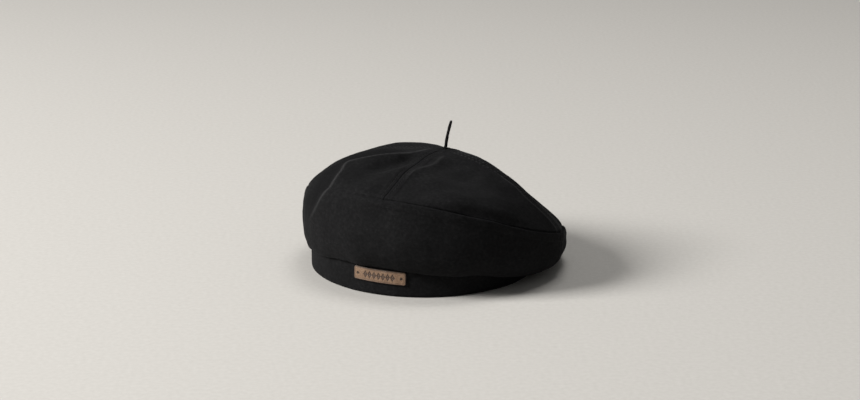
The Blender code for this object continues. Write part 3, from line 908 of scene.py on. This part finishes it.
def panel(name, nodes, start, span, reaches, columns, material):
    """One wool panel between two seams, as a shell of cloth with flat coordinates."""
    near = start + 0.5 * SEAM_GAP / arc_length(np.full_like(reaches, start), reaches)
    far = start + span - 0.5 * SEAM_GAP / arc_length(np.full_like(reaches, start + span), reaches)
    share = crowded(columns, 0.65)[:, None]
    angles = near[None] + (far - near)[None] * share + seam_turn(reaches)[None]
    outer, normals = cloth(angles, np.broadcast_to(reaches, angles.shape))
    down = walked(outer[columns // 2])
    if reaches[0] < 1.0:
        turn = np.radians(angles - start - 0.5 * span)
        flat = np.stack([np.sin(turn) * down, np.cos(turn) * down], -1)
    else:
        width = np.radians(angles - start) * MEAN_SIDE_RADIUS
        flat = np.stack([width, np.broadcast_to(-down, width.shape)], -1)
    reaches = np.broadcast_to(reaches, angles.shape)
    inner = np.zeros(angles.shape)
    marks = {
        # worn nap with a painted highlight along the crests of crisp folds
        "rubbed_and_highlight": two_faced(rubbed_and_highlight(angles, reaches), inner),
        # painted shade behind the crease
        "painted_crease_shade": two_faced(painted_crease_shade(angles, reaches), inner),
    }
    sections = two_faced(outer, outer - normals * WOOL)
    piece = lofted(name, sections, material, flat=two_faced(flat, flat), marks=marks)
    return finish_piece(piece, nodes=nodes)


def seam_line(angle, reaches, offset):
    """A line on the sculpted cloth beside a seam, with its normals."""
    angles = angle + seam_turn(reaches)
    angles = angles + offset / arc_length(angles, reaches)
    line = cloth(angles, reaches)[0]
    ahead = cloth(angles, reaches + 0.004)[0] - line
    aside = cloth(angles + 0.3, reaches)[0] - line
    return line, unit(np.cross(ahead, aside))


# Columns and rows of a top panel's mesh and of a side panel's, and how much closer together
# their rows stand at the rim.
TOP_GRID = (144, 92)
SIDE_GRID = (300, 96)
RIM_CROWDING = 0.6

# Where the top ends at the stalk, and the gap at the rim seam, as reaches.
STALK_HOLE = 0.0175
RIM_GAP = 0.0003


def make_crown(wool, thread):
    """The four top panels, the two side panels and the topstitching of the top."""
    rows = np.linspace(0.0, 1.0, TOP_GRID[1])
    shift = RIM_CROWDING * (rows - rows**2)
    reaches = STALK_HOLE + (1.0 - RIM_GAP - STALK_HOLE) * (rows + shift)
    names = ("front_left", "front_right", "back_right", "back_left")
    for index, name in enumerate(names):
        start = FIRST_SEAM + QUARTER * index
        nodes = ["crown_panel_" + name]
        piece = panel("wool_top_" + name, nodes, start, QUARTER, reaches, TOP_GRID[0], wool)

    rows = np.linspace(0.0, 1.0, SIDE_GRID[1])
    shift = RIM_CROWDING * (rows - rows**2)
    reaches = 1.0 + RIM_GAP + (1.0 - RIM_GAP) * (rows - shift)
    half = 2.0 * QUARTER
    for name, start in (("front", FIRST_SEAM), ("back", FIRST_SEAM + half)):
        nodes = ["side_panel_" + name]
        piece = panel("wool_side_" + name, nodes, start, half, reaches, SIDE_GRID[0], wool)

    rows = []
    stitched = np.linspace(0.1, 0.985, 160)
    for index in range(4):
        for offset in (-TOPSTITCH, TOPSTITCH):
            line, normals = seam_line(FIRST_SEAM + QUARTER * index, stitched, offset)
            rows.append(thread_row(line, normals, TOPSTITCH_RADIUS))
    finish_piece(threads("wool_topstitching", rows, thread))


# ---------------------------------------------------------------- headband

# Where the ends of the headband's strip are sewn together, at the back.
BAND_JOIN = 178.0


def full_turn(columns):
    """Angles of a closed ring that starts at the first seam."""
    return FIRST_SEAM + 360.0 * np.arange(columns) / columns


def ring_flat(angles, radius, across):
    """Flat coordinates of a ring of cloth, with one column more than it has angles."""
    around = np.radians(np.append(angles, angles[0] + 360.0)) * radius
    return np.stack(np.broadcast_arrays(around[:, None], across), -1)


def ring_points(profile, columns, wobble):
    """Sections of a ring from an outline of (radius, height), with flat coordinates."""
    angles = full_turn(columns)
    grid, radius, height = np.broadcast_arrays(angles[:, None], profile[:, 0], profile[:, 1])
    points = polar(grid, *wobble(grid, radius, height))
    return points, ring_flat(angles, profile[:, 0].max(), walked(profile))


def rounded(corners, radii, spacing):
    """A closed outline through corners, each rounded, with points about a spacing apart."""
    corners = np.asarray(corners, float)
    outline = []
    for index, corner in enumerate(corners):
        before = unit(corners[index - 1] - corner)
        after = unit(corners[(index + 1) % len(corners)] - corner)
        radius = radii[index]
        steps = 6 if radius > 0.0 else 1
        for t in np.linspace(0.0, 1.0, steps):
            bend = (1 - t) ** 2 * before * radius + t**2 * after * radius
            outline.append(corner + bend)
    points = []
    for start, end in zip(outline, outline[1:] + outline[:1]):
        count = max(int(np.ceil(np.linalg.norm(end - start) / spacing)), 1)
        points += [start + (end - start) * step / count for step in range(count)]
    if len(points) % 2:
        points.append(0.5 * (points[-1] + outline[0]))
    return np.array(points)


def make_headband(wool):
    """Wool strip, folded up inside at the hem, a little uneven as worn cloth is."""
    behind = BAND_RADIUS - WOOL
    turn_out = SWEATBAND_RADIUS
    turn_in = SWEATBAND_RADIUS - RIBBON
    hem_top = SWEATBAND_LOW[2] - 0.3 * MM
    profile = rounded(
        (
            (BAND_RADIUS, BAND_HEIGHT),
            (BAND_RADIUS, 0.0),
            (turn_in, 0.0),
            (turn_in, hem_top),
            (turn_out, hem_top),
            (turn_out, WOOL),
            (behind, WOOL),
            (behind, BAND_HEIGHT),
        ),
        np.array((0.4, 1.9, 1.9, 0.3, 0.3, 0.0, 0.0, 0.3)) * MM,
        0.9 * MM,
    )

    def uneven(angle, radius, height):
        points = polar(angle, radius, height)
        outside = ease(behind + 0.2 * MM, BAND_RADIUS, radius)
        low = ease(-6.0 * MM, -0.5 * MM, -height)
        slack = 0.16 * ripple(points, 34.0 * MM, 11) + 0.06 * ripple(points, 9.0 * MM, 13)
        hem = 0.15 * hill(height - 3.0 * MM, 2.6 * MM)
        join = -0.7 * hill(np.radians(centred(angle - BAND_JOIN)) * radius, 0.7 * MM)
        radius = radius + (slack + hem + join) * MM * outside
        return radius, height + 0.12 * MM * ripple(points, 40.0 * MM, 17) * low

    points, flat = ring_points(profile, 560, uneven)
    piece = lofted("wool_headband", points, wool, closed=True, flat=flat)
    finish_piece(piece, nodes=["headband_outer"])


def make_sweatband(ribbon, thread):
    """Grosgrain ribbon with real ribs and scalloped edges, sewn along both edges."""
    low = SWEATBAND_LOW[2]
    high = SWEATBAND_HIGH[2]
    outside = SWEATBAND_RADIUS
    inside = outside - RIBBON
    heights = np.linspace(low, high, 18)
    inner = np.stack([np.full_like(heights, inside + 0.15 * MM), heights], -1)
    outer = np.stack([np.full_like(heights, outside), heights], -1)[::-1]
    profile = np.concatenate([inner, outer])
    ribs = 600
    from_edge = 1.6 * MM

    def ribbed(angle, radius, height):
        points = polar(angle, radius, height)
        worn = ease(-outside, -inside - 0.3 * MM, -radius)
        rib = np.cos(np.radians(angle - FIRST_SEAM) * ribs)
        edge = hill(height - low, 1.0 * MM) + hill(height - high, 1.0 * MM)
        stitched = hill(height - low - from_edge, 0.5 * MM) + hill(height - high + from_edge, 0.5 * MM)
        slack = 0.3 * ripple(points, 40.0 * MM, 19) - 0.25 * rib * (1.0 - 0.5 * edge)
        slack = slack + 0.22 * stitched
        outward = np.sign(height - 0.5 * (low + high))
        return radius + slack * worn * MM, height - 0.12 * MM * rib * edge * outward

    points, flat = ring_points(profile, ribs * 5, ribbed)
    piece = lofted("ribbon_sweatband", points[:, ::-1], ribbon, closed=True, flat=flat[:, ::-1])
    finish_piece(piece, nodes=["sweatband"])

    angles = np.linspace(-179.0, 176.0, 900)
    rows = []
    for height in (low + from_edge, high - from_edge):
        line = polar(angles, inside + 0.25 * MM, height)
        rows.append(thread_row(line, -direction(angles), 0.22 * MM, 2.4 * MM, 3.2 * MM))
    finish_piece(threads("ribbon_stitches", rows, thread))


# ---------------------------------------------------------------- lining

# Where the lining's disc is sewn to its wall, as a reach.
LINING_SEAM = 0.84


def lining_top(angle, part):
    """Upper face of the lining's disc, which hangs lowest under the stalk."""
    points = crown_top(angle, LINING_SEAM * part)
    points[..., 2] -= 3.4 * MM + 4.0 * MM * (1.0 - part) ** 2
    return points


def lining_side(angle, part):
    """Outer face of the lining's wall, from the sweatband up to the disc."""
    disc = lining_top(angle, np.ones_like(part)) - AXIS
    radius = np.hypot(disc[..., 0], disc[..., 1])
    lean = centred(np.degrees(np.arctan2(disc[..., 0], -disc[..., 1])) - angle)
    start = SWEATBAND_HIGH[2] + 0.3 * MM
    controls = (
        (SWEATBAND_RADIUS, start),
        (SWEATBAND_RADIUS, start + 5.7 * MM),
        (BAND_RADIUS + 2.0 * MM, 0.5 * (disc[..., 2] + start + 5.7 * MM)),
        (radius, disc[..., 2] - 2.1 * MM),
    )
    return polar(angle + lean * part, *open_spline(controls, part))


def normals_of(points):
    """Normals of a grid of points whose first direction runs once around the head."""
    around = np.roll(points, -1, 0) - np.roll(points, 1, 0)
    return unit(np.cross(np.gradient(points, axis=1), around))


def make_lining(satin, thread):
    """Satin disc and wall, with the slack gathers of a lining cut a little too large."""
    columns = 420
    angles = full_turn(columns)
    grid, parts = np.meshgrid(angles, np.linspace(0.0, 1.0, 54), indexing="ij")
    wall = lining_side(grid, parts)
    normals = -normals_of(wall)
    turn = np.radians(grid)
    gathers = 0.5 * np.sin(turn * 31.0 + 2.0 * np.sin(turn * 5.0)) + 0.5 * ripple(wall, 26.0 * MM, 23)
    slack = 0.9 * MM * (gathers - 1.2) * np.sin(np.pi * parts) ** 0.8
    wall = wall + normals * slack[..., None]
    flat = ring_flat(angles, BAND_RADIUS, parts[:1] * 70.0 * MM)
    sections = two_faced(wall, wall - normals * LINING)
    piece = lofted("lining_wall", sections[:, ::-1], satin, True, two_faced(flat, flat)[:, ::-1])
    finish_piece(piece, nodes=["lining_side"])

    grid, parts = np.meshgrid(angles, np.linspace(0.01, 1.0, 70), indexing="ij")
    disc = lining_top(grid, parts)
    from_middle = parts * 90.0 * MM
    turn = np.radians(grid)
    gathers = np.sin(turn * 26.0 + 2.5 * np.sin(turn * 4.0)) * ease(0.35, 1.0, parts)
    soft = ripple(disc, 34.0 * MM, 29) * ease(0.0, 0.3, parts)
    disc[..., 2] += 0.55 * MM * (gathers + soft - 1.6) * ease(-1.0, -0.9, -parts)
    flat = np.stack([np.sin(turn) * from_middle, -np.cos(turn) * from_middle], -1)
    flat = np.concatenate([flat, flat[:1]], 0)
    sections = two_faced(disc, disc - LINING * UP)
    piece = lofted("lining_disc", sections[:, ::-1], satin, True, two_faced(flat, flat)[:, ::-1])
    finish_piece(piece, nodes=["lining_crown"])

    seam = lining_side(angles, np.full(columns, 0.985))
    inwards = unit(AXIS + 30.0 * MM * UP - seam)
    row = thread_row(seam, inwards, 0.2 * MM, 2.4 * MM, 3.4 * MM, 0.9 * MM)
    finish_piece(threads("lining_stitches", [row], thread))


# ---------------------------------------------------------------- stalk

STALK_LENGTH = node_box("stem")[1][2] - STALK_ROOT[2] - 0.6 * MM
STALK_LEAN = 4.6 * MM
STALK_RADIUS = 1.5 * MM
STALK_TAPER = 0.16

# Where the stalk's seam is at its root, and how far it twists, in radians.
STALK_SEAM = 4.1
STALK_TWIST = 0.5


def finish_stalk(piece, nodes=()):
    """Bake a piece of the stalk's placement into its mesh and hide the CAD nodes it stands for."""
    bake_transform(piece)
    if nodes:
        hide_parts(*nodes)


def stalk_centres(share):
    """Points up the middle of the stalk, which leans over towards its tip."""
    lean = STALK_LEAN * np.sign(share) * np.abs(share) ** 1.5
    return STALK_ROOT + np.stack([lean, 0.0 * share, STALK_LENGTH * share], -1)


def make_stalk(wool, thread):
    """Sewn rouleau: a rolled strip with one seam down its side and a folded tip."""
    steps = 90
    sides = 40
    share = np.linspace(-0.015, 1.0, steps)
    share = np.concatenate([[-0.052, -0.045, -0.03], share, [1.014, 1.024, 1.027]])
    rounding = np.interp(
        share,
        (-0.052, -0.045, -0.03, 0.0, 0.98, 1.0, 1.014, 1.024, 1.027),
        (0.3, 0.65, 0.9, 1.0, 0.96, 0.88, 0.68, 0.4, 0.12),
    )
    turns = np.linspace(0.0, 2.0 * np.pi, sides, endpoint=False)
    along, turn = np.meshgrid(share, turns, indexing="ij")
    twisted = turn - STALK_TWIST * along
    seam = hill(centred(twisted - STALK_SEAM, 2.0 * np.pi), 0.22)
    radius = STALK_RADIUS * rounding[:, None] * (1.0 - STALK_TAPER * along)
    place = np.stack([np.cos(turn) * 1.5, np.sin(turn) * 1.5, along * 24.0], -1) * MM
    wrinkles = 0.06 * ripple(place, 4.0 * MM, 31) + 0.03 * np.sin(along * 46.0 + 2.0 * np.cos(turn))
    flattened = 1.0 - 0.07 * np.cos(2.0 * twisted)
    radius = radius * flattened * (1.0 + wrinkles) - 0.32 * MM * seam * rounding[:, None]
    points = stalk_centres(share)[:, None] + spokes(turn) * radius[..., None]
    flat = np.stack([turn * STALK_RADIUS, along * STALK_LENGTH], -1)
    piece = lofted("wool_stalk", points, wool, flat=flat)
    finish_stalk(piece, ["stem"])

    stitched = np.linspace(0.06, 0.97, 120)
    outwards = spokes(STALK_SEAM + STALK_TWIST * stitched)
    radius = STALK_RADIUS * (1.0 - STALK_TAPER * stitched) - 0.3 * MM
    line = stalk_centres(stitched) + outwards * radius[:, None]
    row = thread_row(line, outwards, 0.11 * MM, 0.8 * MM, 1.5 * MM, 0.1 * MM)
    finish_stalk(threads("stalk_stitches", [row], thread))


# ---------------------------------------------------------------- leather tag

TAG_ANGLE = -21.9
TAG_TILT = 1.6
TAG_LENGTH = 45.0 * MM
TAG_WIDTH = 11.0 * MM
TAG_THICKNESS = 1.5 * MM
TAG_CORNER = 1.6 * MM
TAG_BASE = BAND_RADIUS + 0.3 * MM
TAG_MIDDLE = 0.5 * (TAG_LOW + TAG_HIGH)[2]
HOLE_PLACE = 0.5 * TAG_LENGTH - 3.7 * MM
HOLE_RADIUS = 0.95 * MM
TAG_GRID = (330, 82)


def on_tag(along, across, out):
    """A point of the flat tag, where it is sewn: tilted a little and bent round the band."""
    turn = np.radians(TAG_TILT)
    level = across * np.cos(turn) - along * np.sin(turn)
    along = along * np.cos(turn) + across * np.sin(turn)
    return polar(TAG_ANGLE + np.degrees(along / TAG_BASE), TAG_BASE + out, TAG_MIDDLE + level)


def ornament(along, across):
    """Pressed row of lozenges with a dot in each: 1 where the tool bites."""
    pitch = 3.9 * MM
    inside = ease(-14.2 * MM, -13.6 * MM, -np.abs(along))
    beside = centred(along, pitch)
    lozenge = np.abs(beside) / (1.6 * MM) + np.abs(across) / (2.9 * MM)
    ring = hill(lozenge - 0.82, 0.3)
    dot = hill(np.hypot(beside, across), 0.65 * MM)
    spot = hill(np.hypot((along % pitch) - 0.5 * pitch, across), 0.34 * MM)
    return np.clip(ring + dot + spot, 0.0, 1.0) * inside


def make_tag(leather):
    """Leather tag with rounded edges, two punched holes and a plain pressed border."""
    half_length = 0.5 * TAG_LENGTH
    half_width = 0.5 * TAG_WIDTH
    across = (crowded(TAG_GRID[1], 0.6) * 2.0 - 1.0) * half_width
    bend = np.maximum(np.abs(across) - (half_width - TAG_CORNER), 0.0)
    reach = half_length - TAG_CORNER + np.sqrt(np.maximum(TAG_CORNER**2 - bend**2, 0.0))
    share = crowded(TAG_GRID[0], 0.6) * 2.0 - 1.0
    along = share[:, None] * reach[None]
    across = np.broadcast_to(across, along.shape)
    to_end = reach[None] - np.abs(along)
    to_side = half_width - np.abs(across)
    corner = np.hypot(
        np.maximum(np.abs(along) - (half_length - TAG_CORNER), 0.0),
        np.maximum(np.abs(across) - (half_width - TAG_CORNER), 0.0),
    )
    to_edge = np.where(corner > 0.0, TAG_CORNER - corner, np.minimum(to_end, to_side))
    to_edge = np.clip(to_edge, 0.0, None)
    round_over = 0.55 * MM
    inset = np.maximum(round_over - to_edge, 0.0)
    drop = round_over - np.sqrt(np.maximum(round_over**2 - inset**2, 0.0))
    hole = np.minimum(np.hypot(along - HOLE_PLACE, across), np.hypot(along + HOLE_PLACE, across))
    sunk = ease(-HOLE_RADIUS - 0.1 * MM, -HOLE_RADIUS + 0.15 * MM, -hole)
    lip = hill(hole - HOLE_RADIUS - 0.35 * MM, 0.3 * MM)
    border = hill(to_edge - 1.25 * MM, 0.22 * MM)
    mark = np.maximum(ornament(along, across), 0.55 * border)
    place = np.stack([along, across, 0.0 * along], -1)
    uneven = 0.05 * ripple(place, 9.0 * MM, 37) + 0.02 * ripple(place, 2.0 * MM, 41)
    top = TAG_THICKNESS - drop + (uneven - 0.3 * mark + 0.08 * lip) * MM * ease(0.0, 0.6 * MM, to_edge)
    top = top * (1.0 - sunk) + 0.12 * MM * sunk
    front = on_tag(along, across, top)
    back = on_tag(along, across, np.zeros_like(top) + 0.05 * MM)
    # dark edge band: leather burnish, widened as a painted shadow that the tag casts on the band
    burnt_edge_and_shadow = 1.0 - ease(0.25 * MM, 0.95 * MM, to_edge)
    edge = np.clip(burnt_edge_and_shadow + sunk + 0.5 * hill(hole - HOLE_RADIUS, 0.3 * MM), 0.0, 1.0)
    marks = {
        "edge": two_faced(edge, np.ones_like(edge)),
        "pressed": two_faced(mark, np.zeros_like(mark)),
    }
    piece = lofted("leather_label", two_faced(front, back), leather, marks=marks, sharp=60.0)
    finish_piece(piece, nodes=["leather_tag"])


def make_tag_knot(name, node, side, thread):
    """Waxed thread sewn through a hole of the tag and tied into a small wound knot."""
    rings = 26
    sides = 28
    share = np.linspace(0.0, 1.0, rings)
    turn = np.linspace(0.0, 2.0 * np.pi, sides, endpoint=False)
    rise, around = np.meshgrid(share, turn, indexing="ij")
    outline = np.sqrt(np.clip(1.0 - np.clip((rise - 0.55) / 0.45, 0.0, 1.0) ** 2.4, 0.0004, 1.0))
    outline = outline * np.clip(rise / 0.04, 0.3, 1.0)
    wound = 0.09 * np.sin(3.0 * around + 9.0 * rise) * np.sin(np.pi * rise)
    radius = 0.74 * MM * outline * (1.0 + wound)
    out = 0.15 * MM + rise * 1.75 * MM
    points = on_tag(side * HOLE_PLACE + radius * np.cos(around), radius * np.sin(around), out)
    piece = lofted(name, points, thread, sharp=80.0)
    finish_piece(piece, nodes=[node])


# ---------------------------------------------------------------- woven labels

# Shares of a label's drop between which its turned-up foot begins.
LABEL_FOLD = (0.84, 0.86)


def make_label(node, width, length, woven, thread):
    """Woven label: a tape folded over at the foot, curved by its own weave, sewn along its top."""
    name = "woven_" + node
    joint = JOINTS[node + "_flip"]
    hinge = np.array(joint["pos_m"])
    axis = unit(np.array(joint["axis"]))
    low, high = node_box(node)
    foot = high[2] - low[2]
    inwards = unit(np.cross(UP, axis))
    count = 60
    side, drop = np.meshgrid(np.linspace(-0.5, 0.5, count), np.linspace(0.0, 1.0, count), indexing="ij")
    slack = 0.12 * ripple(np.stack([side * width, drop * length, 0 * side], -1), 11.0 * MM, len(name))
    curl = 0.9 * (side**2 * 4.0) * drop + 0.55 * np.sin(np.pi * drop) + slack * drop
    out = (0.12 + curl) * MM
    folded = 0.16 * MM * ease(*LABEL_FOLD, drop)
    centre = hinge + inwards * 0.25 * MM
    points = centre + axis * (side * width)[..., None] + inwards * out[..., None]
    points = points - UP * (drop * foot)[..., None]
    thickness = (0.3 * MM + folded)[..., None]
    sections = two_faced(points + inwards * thickness, points)
    flat = np.stack([side * width, drop * length], -1)
    piece = lofted(name, sections, woven, flat=two_faced(flat, flat))
    finish_piece(piece, node, [node])

    edge = np.linspace(-0.44, 0.44, count)
    rows = []
    for below in (1.1 * MM, foot * 0.87):
        share = below / foot
        depth = np.interp(share, np.linspace(0.0, 1.0, count), out[count // 2])
        depth = depth + np.interp(share, LABEL_FOLD, (0.3, 0.46)) * MM
        bow = 0.9 * MM * (edge**2 * 4.0) * share
        line = centre + axis * (edge * width)[:, None] + inwards * (depth + bow)[:, None] - below * UP
        facing = np.broadcast_to(inwards, line.shape)
        rows.append(thread_row(line, facing, 0.13 * MM, 1.3 * MM, 1.9 * MM, 0.06 * MM))
    stitches = finish_piece(threads(name + "_stitches", rows, thread), node)


# ---------------------------------------------------------------- stage

# The wavy hem dips by less than this below the CAD's flat one.
FLOOR_DROP = 0.25 * MM
FLOOR_RADIUS = 30.0


def add_floor(material):
    """Wide plain floor that the headband stands on."""
    mesh = bpy.data.meshes.new("floor")
    turns = np.linspace(0.0, 2.0 * np.pi, 64, endpoint=False)
    mesh.from_pydata((FLOOR_RADIUS * spokes(turns)).tolist(), [], [list(range(len(turns)))])
    mesh.materials.append(material)
    floor = bpy.data.objects.new("floor", mesh)
    floor.location.z = CAD_BOX[0].z - FLOOR_DROP
    bpy.context.scene.collection.objects.link(floor)


def add_light(name, place, target, size, power, colour):
    """Square soft box that faces a target."""
    light = bpy.data.lights.new(name, "AREA")
    light.shape = "SQUARE"
    light.size = size
    light.energy = power
    light.color = colour
    lamp = bpy.data.objects.new(name, light)
    lamp.location = place
    lamp.rotation_euler = (Vector(target) - Vector(place)).to_track_quat("-Z", "Y").to_euler()
    bpy.context.scene.collection.objects.link(lamp)


def add_lights():
    """Large soft key from the upper left, a weak fill from the front and a thin light above."""
    target = (0.0, 0.0, 0.05)
    add_light("key", (-3.42, -0.9, 2.1), target, 1.4, 265.0, (1.0, 0.985, 0.96))
    add_light("fill", (0.4, -1.6, 1.3), target, 1.4, 1.0, (0.95, 0.97, 1.0))
    add_light("top", (0.3, 0.3, 2.4), target, 1.0, 19.0, (1.0, 0.99, 0.97))
    world = bpy.data.worlds.new("studio")
    world.use_nodes = True
    background = world.node_tree.nodes["Background"]
    background.inputs["Color"].default_value = (0.93, 0.92, 0.90, 1.0)
    background.inputs["Strength"].default_value = 0.13
    bpy.context.scene.world = world
    bpy.context.scene.view_settings.view_transform = "Standard"


def add_camera():
    """Long lens, low and straight in front, at the photograph's viewing angle."""
    elevation = np.radians(16.15)
    distance = 1.705
    target = AXIS + np.array([5.4, 0.0, 54.3]) * MM
    data = bpy.data.cameras.new("camera")
    data.lens = 85.0
    data.sensor_width = 36.0
    data.clip_start = 0.05
    data.clip_end = 60.0
    camera = bpy.data.objects.new("camera", data)
    camera.location = target + distance * np.array([0.0, -np.cos(elevation), np.sin(elevation)])
    camera.rotation_euler = (Vector(target) - camera.location).to_track_quat("-Z", "Y").to_euler()
    bpy.context.scene.collection.objects.link(camera)
    bpy.context.scene.camera = camera


# ---------------------------------------------------------------- the beret


def keep_cad_node(name, material):
    """Show a hidden inner CAD piece as it is, with a better material."""
    node = frame["nodes"][name]
    node.data.materials.clear()
    node.data.materials.append(material)


def main():
    add_camera()
    add_lights()
    add_floor(floor_material())

    wool = wool_material()
    wool_thread = thread_material("charcoal thread", (0.012, 0.012, 0.0125), 0.05, 0.2)
    tag_thread = thread_material("waxed brown thread", (0.050, 0.028, 0.016), 0.05)
    label_thread = thread_material("cream thread", (0.50, 0.48, 0.42))
    make_crown(wool, wool_thread)
    make_headband(wool)
    make_sweatband(grosgrain_material(), wool_thread)
    make_lining(satin_material(), wool_thread)
    make_stalk(wool, wool_thread)
    make_tag(leather_material())
    for name, side in (("left", -1.0), ("right", 1.0)):
        make_tag_knot("tag_knot_" + name, "tag_stitch_" + name, side, tag_thread)
    woven = label_material()
    for node, width, length in (("care_label", 25.0, 25.0), ("size_label", 14.0, 10.0)):
        make_label(node, width * MM, length * MM, woven, label_thread)
    keep_cad_node("headband_interlining", stiffener_material())
    keep_cad_node("stem_anchor", wool)


main()
